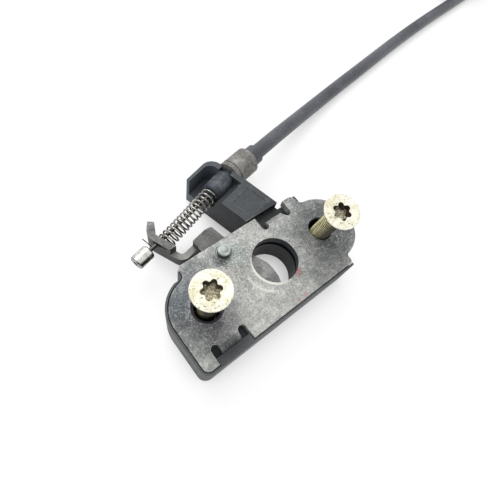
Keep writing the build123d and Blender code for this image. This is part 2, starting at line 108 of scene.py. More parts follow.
class Look:
    """Small helper that builds a procedural material node by node."""

    RAGGED_NOISE = (260, 5, 0.7)
    EDGE_SAMPLES = 6

    def __init__(self, name, roughness=0.5, metallic=0.0, specular=0.5):
        self.material = bpy.data.materials.new(name)
        self.material.use_nodes = True
        self.tree = self.material.node_tree
        self.shader = self.tree.nodes["Principled BSDF"]
        self.shader.inputs["Roughness"].default_value = roughness
        self.shader.inputs["Metallic"].default_value = metallic
        self.shader.inputs["Specular IOR Level"].default_value = specular
        self.coords = self.tree.nodes.new("ShaderNodeTexCoord").outputs["Object"]

    def link(self, source, target):
        self.tree.links.new(source, target)

    def noise(self, scale, detail=4.0, rough=0.55, distortion=0.0):
        node = self.tree.nodes.new("ShaderNodeTexNoise")
        node.inputs["Scale"].default_value = scale
        node.inputs["Detail"].default_value = detail
        node.inputs["Roughness"].default_value = rough
        node.inputs["Distortion"].default_value = distortion
        self.link(self.coords, node.inputs["Vector"])
        return node.outputs["Fac"]

    def ramp(self, fac, stops):
        """Colours between stops of (place, colour)."""
        node = self.tree.nodes.new("ShaderNodeValToRGB")
        elements = node.color_ramp.elements
        while len(elements) < len(stops):
            elements.new(0.5)
        for element, (place, colour) in zip(elements, stops):
            element.position = place
            element.color = colour if len(colour) == 4 else (*colour, 1.0)
        self.link(fac, node.inputs["Fac"])
        return node.outputs["Color"]

    def math(self, operation, a, b=None, clamp=False):
        node = self.tree.nodes.new("ShaderNodeMath")
        node.operation = operation
        node.use_clamp = clamp
        for socket, value in ((node.inputs[0], a), (node.inputs[1], b)):
            if value is None:
                continue
            if isinstance(value, (int, float)):
                socket.default_value = value
            else:
                self.link(value, socket)
        return node.outputs[0]

    def product(self, first, *others):
        """Product of sockets and numbers."""
        for other in others:
            first = self.math("MULTIPLY", first, other)
        return first

    def vector_math(self, operation, a, b):
        """Vector maths on a socket, and a second socket or a fixed vector."""
        node = self.tree.nodes.new("ShaderNodeVectorMath")
        node.operation = operation
        self.link(a, node.inputs[0])
        if isinstance(b, (tuple, Vector)):
            node.inputs[1].default_value = b
        else:
            self.link(b, node.inputs[1])
        return node.outputs

    def mix(self, fac, a, b):
        node = self.tree.nodes.new("ShaderNodeMix")
        node.data_type = "RGBA"
        for socket, value in ((node.inputs[0], fac), (node.inputs[6], a), (node.inputs[7], b)):
            if isinstance(value, (int, float, tuple)):
                socket.default_value = value
            else:
                self.link(value, socket)
        return node.outputs[2]

    def wash(self, base, mask, strength, colour):
        """Base with a colour over it where the mask is 1, at a strength."""
        return self.mix(self.product(mask, strength), base, colour)

    def between(self, value, low, high):
        """0 at low, 1 at high, straight between. Low may be the larger number."""
        node = self.tree.nodes.new("ShaderNodeMapRange")
        node.inputs["From Min"].default_value = low
        node.inputs["From Max"].default_value = high
        self.link(value, node.inputs["Value"])
        return node.outputs[0]

    def wobble(self, value, noise, reach):
        """Distance in metres, moved to and fro by a noise over a reach in mm."""
        return self.math("ADD", value, self.product(self.math("SUBTRACT", noise, 0.5), reach * MM))

    def near(self, point, radius, soft, wide=1.0, ragged=0.0):
        """1 within radius of a point in mm seen from above, falling to 0 over soft.

        Wide is the spot's width for its height, and ragged roughens its border by that many mm.
        """
        flat = self.vector_math("MULTIPLY", self.coords, (1 / wide, 1, 0))[0]
        centre = (point[0] * MM / wide, point[1] * MM, 0)
        away = self.vector_math("DISTANCE", flat, centre)["Value"]
        if ragged:
            away = self.wobble(away, self.noise(*self.RAGGED_NOISE), ragged)
        return self.between(away, (radius + soft) * MM, radius * MM)

    def normal(self):
        return self.tree.nodes.new("ShaderNodeNewGeometry").outputs["Normal"]

    def facing(self, direction, low, high):
        """1 on faces that look in a direction, 0 on those that look away from it."""
        return self.between(self.vector_math("DOT_PRODUCT", self.normal(), direction)["Value"], low, high)

    def upward(self):
        """1 on faces that look up, 0 on upright ones."""
        return self.facing(UP, 0.5, 0.9)

    def edges(self, radius):
        """1 along the edges of the solid within about a radius in mm, 0 on its faces."""
        bevel = self.tree.nodes.new("ShaderNodeBevel")
        bevel.samples = self.EDGE_SAMPLES
        bevel.inputs["Radius"].default_value = radius * MM
        alike = self.vector_math("DOT_PRODUCT", bevel.outputs[0], self.normal())["Value"]
        return self.between(alike, 0.995, 0.9)

    def along(self, start, direction):
        """Distance along a direction from a point in mm, in metres."""
        place = self.vector_math("DOT_PRODUCT", self.coords, direction)["Value"]
        return self.math("SUBTRACT", place, start.dot(direction) * MM)

    def height(self, low, high):
        """0 at one height in mm, 1 at the other."""
        return self.between(self.along(FLOOR, UP), low * MM, high * MM)

    def colour(self, socket):
        self.link(socket, self.shader.inputs["Base Color"])

    def rough(self, socket):
        self.link(socket, self.shader.inputs["Roughness"])

    def bump(self, height, strength, distance):
        node = self.tree.nodes.new("ShaderNodeBump")
        node.inputs["Strength"].default_value = strength
        node.inputs["Distance"].default_value = distance
        self.link(height, node.inputs["Height"])
        self.link(node.outputs["Normal"], self.shader.inputs["Normal"])


DARK_ZONES = (
    # centre x, y, radius, soft, width for height, strength
    (-27.5, -1.5, 4.5, 7.5, 1.1, 0.9),
    (23.0, -1.5, 5.5, 9.0, 1.1, 0.86),
    (-31.5, 5.0, 3.0, 6.5, 1.1, 0.8),
    (-25.5, 11.0, 1.0, 5.5, 1.6, 0.62),
    (13.5, 2.0, 2.0, 8.0, 0.8, 0.45),
    (13.0, -11.0, 2.0, 7.0, 1.9, 0.45),
    (22.5, 8.5, 2.0, 5.0, 1.2, 0.35),
    # painted shadow, with some grease, at the rivet's lower-left foot
    (-12.9, 10.2, 2.1, 2.2, 1.0, 0.95),
    (-31.5, -8.5, 1.0, 6.0, 1.2, 0.38),
    (-26.5, -12.2, 0.5, 1.9, 1.8, 0.9),
    (-11.0, 3.5, 1.0, 6.0, 0.8, 0.3),
    (-20.5, 8.5, 1.0, 6.0, 1.2, 0.3),
    (6.0, 12.0, 0.5, 4.0, 1.4, 0.4),
)
PALE_ZONES = (
    # centre x, y, radius, soft, width for height, strength
    (-11.5, -3.5, 2.0, 8.0, 1.0, 0.5),
    (-9.8, -3.6, 0.8, 1.4, 0.8, 0.5),
    (-14.0, -9.5, 1.0, 7.0, 1.6, 0.5),
    (-36.0, -12.5, 0.5, 3.5, 0.8, 0.6),
    (-1.0, -12.8, 0.6, 3.0, 3.4, 0.35),
    (2.0, 11.5, 1.0, 4.0, 2.0, 0.3),
)
TINT_ZONES = (
    # centre, radius, soft, strength, colour
    # bluish at the far left, violet below the left screw, green and pink beside the rivet
    ((-29.0, 8.0), 2.0, 9.0, 0.16, srgb(112, 132, 146)),
    ((-26.0, -5.0), 1.0, 6.0, 0.2, srgb(104, 92, 108)),
    ((-9.5, 8.5), 0.5, 5.0, 0.26, srgb(118, 150, 140)),
    ((-14.0, 3.0), 0.5, 4.0, 0.14, srgb(190, 170, 160)),
)
CURLS = (
    # scale of the noise, width, strength, colour
    (140, 0.009, 0.4, srgb(214, 217, 214)),
    (300, 0.011, 0.5, srgb(226, 228, 224)),
    (210, 0.007, 0.7, srgb(60, 62, 64)),
)
PAINT_SPECKS = (
    # centre, radius, strength
    ((3.3, -7.6), 0.5, 0.42),
    ((4.1, -6.9), 0.3, 0.42),
    ((-2.4, -14.0), 0.35, 0.42),
    ((0.6, -14.1), 0.5, 0.34),
)
WORN_AND_LIT_SIDE = (-8.0, -4.0)
ARC_AT = (-1.6, -0.6)
ARC_SEEN_AT = (-9.5, -4.5)
HOLE_WALLS = (
    # centre, radius, colour
    (STRIKER_AT, 7.6, srgb(18, 24, 31)),
    (LEFT_HOLE, 5.2, srgb(76, 68, 77)),
    (RIGHT_HOLE, 5.2, srgb(30, 33, 38)),
)
HOUSING_SHADE_AND_GRIME = (
    # centre, radius, soft, width for height, strength
    # painted shade, with grease, in the well under the plate
    (STRIKER_AT, 12.0, 1.0, 1.0, 0.95),
    ((-27.5, -12.8), 1.0, 2.4, 3.0, 0.55),
    ((11.5, 13.0), 3.0, 1.6, 2.3, 0.5),
)


def zinc_base(look, middle, fine):
    """Mottled grey of the zinc, with its pale, dark and tinted zones."""
    cloud = look.ramp(look.noise(110, 7, 0.7, 0.6), [
        (0.34, srgb(110, 114, 115)), (0.5, srgb(146, 148, 146)), (0.64, srgb(182, 182, 177)),
    ])
    blotch = look.ramp(middle, [
        (0.36, srgb(88, 92, 94)), (0.5, srgb(146, 148, 146)), (0.63, srgb(222, 221, 214)),
    ])
    grain = look.ramp(fine, [
        (0.34, srgb(66, 68, 68)), (0.5, srgb(148, 149, 147)), (0.64, srgb(240, 240, 235)),
    ])
    base = look.mix(0.48, cloud, blotch)
    base = look.mix(0.27, base, grain)
    for x, y, radius, soft, wide, strength in PALE_ZONES:
        zone = look.near((x, y), radius, soft, wide, 5.0)
        base = look.wash(base, zone, strength, look.mix(0.36, base, srgb(214, 213, 205)))
    for x, y, radius, soft, wide, strength in DARK_ZONES:
        zone = look.near((x, y), radius, soft, wide, 6.0)
        base = look.wash(base, zone, strength, look.mix(0.16, srgb(52, 55, 60), base))
    for at, radius, soft, strength, tint in TINT_ZONES:
        base = look.wash(base, look.near(at, radius, soft, 1.0, 6.0), strength, tint)
    return base


def add_marks(look, base, middle):
    """Curled scratches, pits, glints, flecks between the screws and specks of red paint."""
    for scale, width, strength, tint in CURLS:
        curl = look.noise(scale, 2, 0.5, 2.4)
        line = look.math("LESS_THAN", look.math("ABSOLUTE", look.math("SUBTRACT", curl, 0.5)), width)
        base = look.wash(base, look.product(middle, line), strength, tint)
    pits = look.between(look.noise(2300, 3, 0.6), 0.34, 0.28)
    base = look.wash(base, pits, 0.6, srgb(44, 44, 46))
    glints = look.between(look.noise(1900, 3, 0.6), 0.67, 0.72)
    base = look.wash(base, glints, 0.8, srgb(250, 250, 246))
    busy = look.near((-8.0, 3.0), 7.0, 13.0, 1.3, 6.0)
    flecks = look.between(look.noise(2300, 4, 0.65), 0.56, 0.62)
    base = look.wash(base, look.product(flecks, busy), 0.55, srgb(236, 236, 229))
    hollows = look.between(look.noise(1300, 5, 0.7), 0.46, 0.38)
    base = look.wash(base, look.product(hollows, busy), 0.6, srgb(92, 92, 88))
    for at, radius, strength in PAINT_SPECKS:
        base = look.wash(base, look.near(at, radius, 0.5, 1.2, 1.6), strength, srgb(150, 62, 62))
    return base


def add_wear(look, base, middle):
    """Bright edges, partly wear and partly painted highlight, most of all on the left of the striker hole,
    and the arc it has rubbed.
    """
    # Pale top edges: partly wear, partly a painted highlight
    worn = look.product(look.edges(0.35), look.between(middle, 0.42, 0.56))
    worn = look.product(worn, look.height(PLATE_TOP - 1.0, PLATE_TOP))
    base = look.wash(base, worn, 0.75, srgb(226, 226, 220))
    # Painted highlight with wear on the rim of the striker hole, strongest on its left side
    outer = look.near((-0.25, -0.2), 7.75, 0.35)
    rim = look.math("SUBTRACT", outer, look.near(STRIKER_AT, 7.3, 0.1), True)
    rim = look.product(rim, look.near(WORN_AND_LIT_SIDE, 5.0, 5.0))
    base = look.wash(base, rim, 0.7, srgb(228, 226, 218))
    outer = look.near(ARC_AT, 9.1, 0.5, 1.0, 1.6)
    arc = look.math("SUBTRACT", outer, look.near(ARC_AT, 8.5, 0.3, 1.0, 1.6), True)
    arc = look.product(arc, look.near(ARC_SEEN_AT, 3.5, 3.5))
    return look.wash(base, arc, 0.5, srgb(226, 224, 216))


def plate_look():
    """Zinc plated steel: dark round the screws, worn pale left of the striker hole."""
    look = Look("zinc_plate_look", 0.5, 0.3, 0.3)
    middle = look.noise(380, 7, 0.72, 0.4)
    fine = look.noise(1700, 5, 0.75)
    base = zinc_base(look, middle, fine)
    base = add_marks(look, base, middle)
    base = add_wear(look, base, middle)
    # The walls of the holes are painted dark: painted shade inside the holes, with some grease
    below = look.height(PLATE_TOP - 0.15, PLATE_TOP - 0.45)
    for at, radius, tint in HOLE_WALLS:
        base = look.wash(base, look.product(look.near(at, radius, 0.1), below), 0.97, tint)
    look.colour(base)
    look.rough(look.ramp(middle, [(0.3, (0.6, 0.6, 0.6)), (0.7, (0.4, 0.4, 0.4))]))
    look.bump(look.math("ADD", middle, fine), 0.35, 0.00014)
    return look.material


def rivet_look():
    """End of the rivet: duller than the plate, with a shallow dimple, painted shade with some grease on its
    side and foot, and a painted highlight on its edges.
    """
    look = Look("rivet_look", 0.5, 0.3)
    base = look.ramp(look.noise(420, 6, 0.7), [
        (0.34, srgb(128, 136, 132)), (0.5, srgb(166, 174, 170)), (0.66, srgb(208, 212, 207)),
    ])
    # Painted shade, with some grease, on the side of the rivet down to its foot
    foot = look.height(PLATE_TOP + 2.0, PLATE_TOP + 1.2)
    base = look.wash(base, foot, 0.92, srgb(36, 39, 42))
    outer = look.near(RIVET_AT, 1.2, 0.25)
    dimple = look.math("SUBTRACT", outer, look.near(RIVET_AT, 0.6, 0.5), True)
    base = look.wash(base, dimple, 0.35, srgb(84, 92, 92))
    # Painted highlight along the rivet's edges
    look.colour(look.wash(base, look.edges(0.2), 0.35, srgb(206, 210, 204)))
    look.bump(look.near(RIVET_AT, 0.5, 0.9), 0.5, 0.0003)
    return look.material


def plastic_look():
    """Matt black moulding with a fine grain and grey scuffs along its edges."""
    look = Look("black_moulding_look", 0.46, 0.0, 0.25)
    broad = look.noise(120, 5, 0.66)
    base = look.ramp(broad, [(0.35, srgb(33, 35, 38)), (0.68, srgb(58, 60, 63))])
    # Painted light: faces that look up are paler
    base = look.wash(base, look.upward(), 0.5, srgb(80, 85, 89))
    scuff = look.ramp(look.noise(420, 8, 0.75, 0.6), [(0.53, (0, 0, 0)), (0.7, (0.5, 0.5, 0.5))])
    base = look.mix(scuff, base, srgb(106, 109, 110))
    grit = look.between(look.noise(1500, 5, 0.7), 0.46, 0.38)
    base = look.wash(base, grit, 0.4, srgb(26, 27, 29))
    worn = look.product(look.edges(0.35), look.between(look.noise(300, 5, 0.7), 0.36, 0.58))
    base = look.wash(base, worn, 0.6, srgb(126, 128, 128))
    # Dust on top of the tray's rim
    dusty = look.product(look.height(RIM_TOP - 0.6, RIM_TOP), look.upward())
    before = look.between(look.along(FLOOR, TO_BRACKET), TRAY_END * MM, (TRAY_END - 0.2) * MM)
    base = look.wash(base, look.product(dusty, before), 0.26, srgb(114, 115, 113))
    # The cable bracket: painted light in its shaded pocket, and painted shade on its front
    pocket_light = look.product(look.near((0.5, 39.5), 7.0, 3.0), look.height(13.0, 12.0))
    base = look.wash(base, pocket_light, 0.8, srgb(88, 93, 101))
    front = look.product(look.facing(Vector((-0.97, -0.26, 0)), 0.6, 0.9), look.near((1.0, 23.0), 6.0, 2.0))
    base = look.wash(base, front, 0.5, srgb(26, 29, 34))
    # Painted shade with grease in the well under the plate, and grease and dirt in the two recesses
    for at, radius, soft, wide, strength in HOUSING_SHADE_AND_GRIME:
        base = look.wash(base, look.near(at, radius, soft, wide, 1.5), strength, srgb(10, 14, 19))
    look.colour(base)
    look.rough(look.ramp(broad, [(0.3, (0.38, 0.38, 0.38)), (0.7, (0.55, 0.55, 0.55))]))
    look.bump(look.noise(2500, 3, 0.6), 0.15, 0.00006)
    return look.material


def guide_look():
    """Black sleeve, grey round its middle with scuffs and a painted highlight, and dark at both ends."""
    look = Look("guide_look", 0.45, 0.0, 0.25)
    base = look.ramp(look.noise(200, 6, 0.7), [(0.36, srgb(38, 41, 48)), (0.64, srgb(64, 68, 76))])
    place = look.wobble(look.along(SLEEVE_MOUTH, -SPRING_AXIS), look.noise(330, 5, 0.7), 6.0)
    middle = look.product(look.between(place, 0.4 * MM, 3.0 * MM), look.between(place, 8.6 * MM, 6.0 * MM))
    # Grey round the middle: scuffs, and a painted highlight
    scuffs_and_sheen = look.product(middle, look.between(look.noise(500, 7, 0.75, 0.5), 0.38, 0.58))
    look.colour(look.wash(base, scuffs_and_sheen, 0.75, srgb(100, 105, 109)))
    look.bump(look.noise(2500, 3, 0.6), 0.15, 0.00006)
    return look.material


def sheet_look():
    """Dark phosphated sheet, with painted light on its upward faces, its low arm and its blade, and pale
    edges, worn where it rubs and partly a painted highlight.
    """
    look = Look("dark_sheet_look", 0.5, 0.1, 0.25)
    fine = look.noise(1500, 5, 0.68)
    dark = look.ramp(look.noise(240, 7, 0.7, 0.5), [
        (0.36, srgb(16, 16, 17)), (0.54, srgb(34, 34, 35)), (0.68, srgb(74, 73, 72)),
    ])
    pale = look.ramp(look.noise(300, 6, 0.7), [
        (0.36, srgb(80, 82, 82)), (0.52, srgb(124, 125, 123)), (0.68, srgb(176, 176, 173)),
    ])
    # Painted light: faces that look up take the pale tone, upright faces the dark one
    base = look.wash(dark, look.upward(), 0.85, pale)
    tab = look.near((-12.0, 17.5), 4.5, 2.0, 1.2)
    base = look.wash(base, tab, 0.5, srgb(66, 65, 64))
    # Painted light on the arm's upward faces, which lie low in shade
    arm = look.product(look.height(9.0, 8.0), look.upward())
    base = look.wash(base, arm, 0.45, srgb(176, 176, 172))
    # Painted light on the blade, which lies in the dark of the striker hole
    blade = look.between(look.noise(420, 6, 0.75), 0.36, 0.66)
    blade = look.product(look.near((-2.0, -1.0), 8.5, 1.0), blade)
    base = look.wash(base, blade, 0.6, srgb(180, 182, 178))
    grain = look.ramp(fine, [(0.34, srgb(40, 40, 40)), (0.66, srgb(158, 157, 154))])
    base = look.mix(0.18, base, grain)
    # Pale edges: partly wear, partly a painted highlight
    worn = look.product(look.edges(0.25), look.between(fine, 0.42, 0.55))
    look.colour(look.wash(base, worn, 0.6, srgb(186, 185, 180)))
    look.bump(fine, 0.25, 0.00008)
    return look.material


def spring_look(name, dark, pale):
    """Dark wire with a shine, darker on its lower half, below the sleeve's mouth."""
    look = Look(name, 0.26, 0.85)
    # Darker below the height of the sleeve's mouth
    above_mouth = look.height(SLEEVE_MOUTH.z - 1.2, SLEEVE_MOUTH.z + 0.8)
    base = look.ramp(look.noise(700, 4), [(0.35, dark), (0.65, pale)])
    look.colour(look.mix(above_mouth, srgb(62, 59, 55), base))
    return look.material


def nipple_look():
    """Bright turned metal, pale on its upward faces and dark on the others as painted light and shade, and
    darker along its edges.
    """
    look = Look("bright_nipple_look", 0.22, 0.75)
    pale = look.ramp(look.noise(500, 6, 0.7), [
        (0.34, srgb(178, 177, 172)), (0.5, srgb(228, 227, 222)), (0.66, srgb(248, 247, 243)),
    ])
    dark = look.ramp(look.noise(700, 6, 0.7), [
        (0.36, srgb(48, 47, 46)), (0.5, srgb(104, 102, 99)), (0.64, srgb(188, 186, 180)),
    ])
    # Painted light and shade: faces that look up take the pale tone, the others the dark one
    base = look.mix(look.facing(UP, 0.62, 0.8), dark, pale)
    look.colour(look.wash(base, look.edges(0.3), 0.7, srgb(66, 64, 62)))
    look.bump(look.noise(900, 4), 0.2, 0.00008)
    return look.material


def ferrule_look():
    """Dull warm grey metal with stains and dark pits."""
    look = Look("dull_ferrule_look", 0.5, 0.25)
    cloud = look.ramp(look.noise(300, 7, 0.72), [
        (0.36, srgb(66, 66, 64)), (0.51, srgb(106, 105, 102)), (0.66, srgb(158, 156, 150)),
    ])
    fine = look.noise(1600, 5, 0.7)
    grain = look.ramp(fine, [(0.34, srgb(62, 60, 58)), (0.64, srgb(170, 166, 160))])
    base = look.mix(0.34, cloud, grain)
    pits = look.between(look.noise(900, 3, 0.6), 0.36, 0.3)
    look.colour(look.wash(base, pits, 0.7, srgb(48, 44, 42)))
    look.bump(fine, 0.3, 0.0001)
    return look.material


def conduit_look():
    """Black cover with a grey bloom."""
    look = Look("conduit_cover_look", 0.4, 0.0)
    base = look.ramp(look.noise(70, 6, 0.66), [(0.3, srgb(54, 57, 63)), (0.72, srgb(88, 91, 98))])
    dust = look.ramp(look.noise(1300, 6, 0.7), [(0.54, (0, 0, 0)), (0.68, (0.5, 0.5, 0.5))])
    look.colour(look.mix(dust, base, srgb(132, 136, 138)))
    look.bump(look.noise(1800, 3), 0.1, 0.00005)
    return look.material


def head_look():
    """Pale yellow passivated zinc with dark specks, stains and worn edges."""
    look = Look("screw_head_look", 0.4, 0.1)
    base = look.ramp(look.noise(260, 6, 0.7), [
        (0.36, srgb(214, 210, 178)), (0.5, srgb(238, 235, 215)), (0.64, srgb(252, 246, 240)),
    ])
    specks = look.between(look.noise(1700, 4, 0.7), 0.43, 0.37)
    patch = look.between(look.noise(140, 4, 0.6), 0.4, 0.5)
    patch = look.math("MAXIMUM", patch, look.near((-28.4, 0.6), 2.4, 2.0))
    base = look.wash(base, specks, patch, srgb(88, 74, 44))
    stain = look.between(look.noise(700, 6, 0.7), 0.56, 0.68)
    base = look.wash(base, stain, 0.5, srgb(186, 180, 130))
    worn = look.product(look.edges(0.16), look.between(look.noise(500, 5, 0.7), 0.42, 0.54))
    look.colour(look.wash(base, worn, 0.7, srgb(128, 118, 78)))
    look.bump(look.noise(700, 5, 0.7), 0.2, 0.0001)
    return look.material


def shank_look(name, dark, pale):
    """Yellow passivated zinc of the shank, with painted shade on one side."""
    look = Look(name, 0.4, 0.2)
    base = look.ramp(look.noise(500, 6, 0.7), [(0.35, dark), (0.65, pale)])
    # Painted shade on the side of the shank away from the light
    look.colour(look.wash(base, look.facing(SHADED_SIDE, -0.65, -0.2), 0.95, srgb(44, 40, 32)))
    return look.material


def socket_look():
    """Grime in the socket, with painted light and shade: dark brown on its walls, speckled beige on its
    floor.
    """
    look = Look("socket_look", 0.7, 0.0)
    dark = look.ramp(look.noise(900, 6, 0.75), [(0.38, srgb(24, 18, 15)), (0.62, srgb(74, 62, 50))])
    pale = look.ramp(look.noise(1900, 5, 0.75), [
        (0.38, srgb(84, 72, 50)), (0.5, srgb(176, 167, 136)), (0.6, srgb(246, 240, 212)),
    ])
    # The left socket is half filled with dirt
    half = look.between(look.along(LEFT_HEAD, Vector((-0.75, -0.66, 0))), -0.4 * MM, 0.7 * MM)
    filled = look.product(look.near(LEFT_HEAD, 5.0, 1.0), half)
    filled = look.product(filled, look.between(look.noise(700, 5, 0.7), 0.36, 0.46))
    # Painted light and shade with the grime: faces that look up and the dirt take the pale tone, the walls
    # the dark one
    look.colour(look.mix(look.math("MAXIMUM", look.upward(), filled), dark, pale))
    look.bump(look.noise(900, 6, 0.7), 0.5, 0.0003)
    return look.material


looks = {
    "latch_plate": plate_look(),
    "housing": plastic_look(),
    "cable_guide": guide_look(),
    "pawl": sheet_look(),
    "return_spring": spring_look("spring_steel_look", srgb(112, 109, 104), srgb(204, 201, 194)),
    "nipple": nipple_look(),
    "ferrule_barrel": ferrule_look(),
    "conduit": conduit_look(),
    "pivot_rivet": rivet_look(),
    "inner_wire": spring_look("core_wire_look", srgb(52, 50, 47), srgb(104, 101, 96)),
    "screw_left": head_look(),
    "thread_crest": shank_look("thread_crest_look", srgb(186, 180, 126), srgb(238, 234, 186)),
    # Darker copy of the thread's look for the left screw: painted shade, its shank lies in the shadow of
    # its head
    "shaded_crest": shank_look("shaded_crest_look", srgb(86, 81, 56), srgb(130, 123, 86)),
    "thread_root": shank_look("thread_root_look", srgb(70, 64, 44), srgb(120, 112, 78)),
    "socket": socket_look(),
}
same_look = {
    "screw_right": "screw_left",
    "ferrule_collar": "conduit",
    "far_ferrule": "ferrule_barrel",
    "far_wire": "return_spring",
    "far_nipple": "nipple",
    "conduit_coil": "conduit",
    "conduit_tail": "conduit",
}
for name, obj in nodes.items():
    for slot in obj.material_slots:
        slot.material = looks[same_look.get(name, name)]


# Cord
CONDUIT_R = 2.75
CONDUIT_EXIT = (23.427, 37.624, 9.505)
TO_COIL = [
    CONDUIT_EXIT,
    (32.733, 39.517, 9.256),
    (46.0, 42.85, 6.8),
    (62.0, 46.7, 4.1),
    (80.0, 50.25, 2.95),
    (106.0, 54.4, 2.8),
    (134.0, 58.9, 2.8),
    (162.0, 62.5, 2.8),
    (190.5, 65.35, 2.8),
    (219.0, 68.1, 2.75),
]
COIL_HEADING = math.radians(5.5)
COIL_START = COIL_HEADING - math.pi / 2
COIL_MEAN_R = 28.0
COIL_X = TO_COIL[-1][0] - COIL_MEAN_R * math.sin(COIL_HEADING)
COIL_Y = TO_COIL[-1][1] + COIL_MEAN_R * math.cos(COIL_HEADING)
COIL_TALL = 11.1
LAYER = 5.6
TURN_POINTS = 16
# The spline runs a little inside its control points, so they lie that much wider
SPREAD = 1.012
CLIMB = {13: 0.45, 14: 2.6, 15: 5.1}
TAIL_R = 22.5
TAIL_STEP = math.radians(25)
TAIL_RISE = (2.85, 2.95, 2.95, 2.9, 2.85, 2.8)


def link_piece(name, data):
    """New object in the scene with the given mesh or curve."""
    piece = bpy.data.objects.new(name, data)
    scene.collection.objects.link(piece)
    return piece


def add_curve(name, points, radius, look):
    """Round cord along one smooth spline with the given control points, in mm."""
    data = bpy.data.curves.new(name, "CURVE")
    data.dimensions = "3D"
    data.bevel_depth = radius * MM
    data.bevel_resolution = 6
    data.resolution_u = 8
    data.use_fill_caps = True
    spline = data.splines.new("NURBS")
    spline.points.add(len(points) - 1)
    for point, (x, y, z) in zip(spline.points, points):
        point.co = (x * MM, y * MM, z * MM, 1.0)
    spline.order_u = 3
    spline.use_endpoint_u = True
    data.materials.append(look)
    return link_piece(name, data)


def coil_point(step):
    """Control point of the coil, two turns one on the other, with a climb at the end of each."""
    layer, within = divmod(step, TURN_POINTS)
    angle = COIL_START + 2 * math.pi * step / TURN_POINTS
    x = COIL_X + COIL_MEAN_R * SPREAD * math.cos(angle)
    y = COIL_Y + COIL_MEAN_R * SPREAD * math.sin(angle)
    return (x, y, CONDUIT_R + LAYER * layer + CLIMB.get(within, 0.0))


def tail_point(step, rise):
    """Control point of the end that lies on the coil and turns inward a little."""
    inward = COIL_MEAN_R - TAIL_R
    angle = COIL_START + step * TAIL_STEP
    x = COIL_X + inward * math.cos(COIL_START) + TAIL_R * math.cos(angle)
    y = COIL_Y + inward * math.sin(COIL_START) + TAIL_R * math.sin(angle)
    return (x, y, COIL_TALL + rise)


def add_conduit():
    """The whole conduit: out of the ferrule, along the table, two turns put away, and its end."""
    points = list(TO_COIL)
    points += [coil_point(step) for step in range(1, 2 * TURN_POINTS)]
    points += [tail_point(step, rise) for step, rise in enumerate(TAIL_RISE)]
    piece = add_curve("conduit_line", points, CONDUIT_R, looks["conduit"])
    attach(piece, "body")
    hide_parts("conduit", "conduit_coil", "conduit_tail")


add_conduit()


# Return spring
SPRING_LONG = 22.85
SPRING_FROM = 0.35
SPRING_MEAN_R = 2.6
SPRING_WIRE_R = 0.3
SPRING_TURNS = 13.5
STEPS_A_TURN = 20
# How much closer together the end turns lie than the others
END_SQUEEZE = 0.012


def tube_mesh(name, points, radius, sides, look):
    """Mesh tube along points in mm, with closed ends."""
    verts = []
    faces = []
    normal = UP
    count = len(points)
    for i, point in enumerate(points):
        ahead = points[min(i + 1, count - 1)] - points[max(i - 1, 0)]
        ahead.normalize()
        normal = (normal - ahead * normal.dot(ahead)).normalized()
        side = ahead.cross(normal)
        for k in range(sides):
            angle = 2 * math.pi * k / sides
            out = normal * math.cos(angle) + side * math.sin(angle)
            verts.append(tuple((point + out * radius) * MM))
    for i in range(count - 1):
        for k in range(sides):
            a = i * sides + k
            b = i * sides + (k + 1) % sides
            faces.append((a, b, b + sides, a + sides))
    faces.append(tuple(reversed(range(sides))))
    faces.append(tuple(range((count - 1) * sides, count * sides)))
    mesh = bpy.data.meshes.new(name)
    mesh.from_pydata(verts, [], faces)
    mesh.shade_smooth()
    mesh.materials.append(look)
    return link_piece(name, mesh)


def add_spring():
    """Return spring, which leans on the lower side of the core wire at the ear."""
    axis = SPRING_AXIS
    across = Vector((-axis.y, axis.x, 0))
    steps = int(SPRING_TURNS * STEPS_A_TURN)
    points = []
    for i in range(steps + 1):
        share = i / steps
        eased = share + END_SQUEEZE * math.sin(2 * math.pi * share)
        angle = 2 * math.pi * SPRING_TURNS * share
        centre = SLEEVE_MOUTH + axis * (SPRING_FROM + eased * (SPRING_LONG - SPRING_FROM))
        points.append(centre + (across * math.cos(angle) + UP * math.sin(angle)) * SPRING_MEAN_R)
    piece = tube_mesh("return_spring_coil", points, SPRING_WIRE_R, 8, looks["return_spring"])
    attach(piece, "body")
    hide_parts("return_spring")
    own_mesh(piece)


add_spring()


# Stray strand of the core wire
STRAND_R = 0.17
STRAND = ((-27.6, 25.75, 10.2), (-28.1, 26.9, 10.5), (-28.35, 28.1, 10.6), (-28.75, 29.7, 10.5))


def add_strand():
    """Broken strand that stands off the core wire beside the nipple."""
    points = [Vector(point) for point in STRAND]
    piece = tube_mesh("core_strand", points, STRAND_R, 6, looks["inner_wire"])
    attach(piece, "core")


add_strand()


# Screws
SCREW_LONG = 30.0
SCREW_TIP_R = 2.2
SHANK_R = 3.0
ROOT_R = 2.45
HEAD_R = 5.6
THREAD_PITCH = 1.0
THREAD_TOP = 25.8
THREAD_CREST = 1.15
THREAD_FLANK = 2.6
THREAD_RUNOUT = 1.2
THREAD_PLAY = 0.02
CREST_BAND = 0.2
CONE_FROM = 27.0
HEAD_EDGE = 0.4
HEAD_BEVEL = 0.1
# Rounded rims of the head and of the socket, and the middle of the rounding: inward and down
EDGE_ROUND = 0.15
SOCKET_ROUND = 0.14
ROUND_IN = 0.05
ROUND_DOWN = 0.04
SOCKET_LOBE_AT = 2.1
SOCKET_LOBE_R = 0.8
SOCKET_WAIST_R = 2.05
LOBE_HALF = math.radians(20)
SOCKET_DEEP = 2.6
SOCKET_TAPER = 0.12
FLOOR_ROUND_IN = 0.45
FLOOR_ROUND_TALL = 0.3
SOCKET_FLOOR_R = 1.2
AROUND = 96
RINGS_A_TURN = 10
HEAD, CREST, ROOT, SOCKET = range(4)


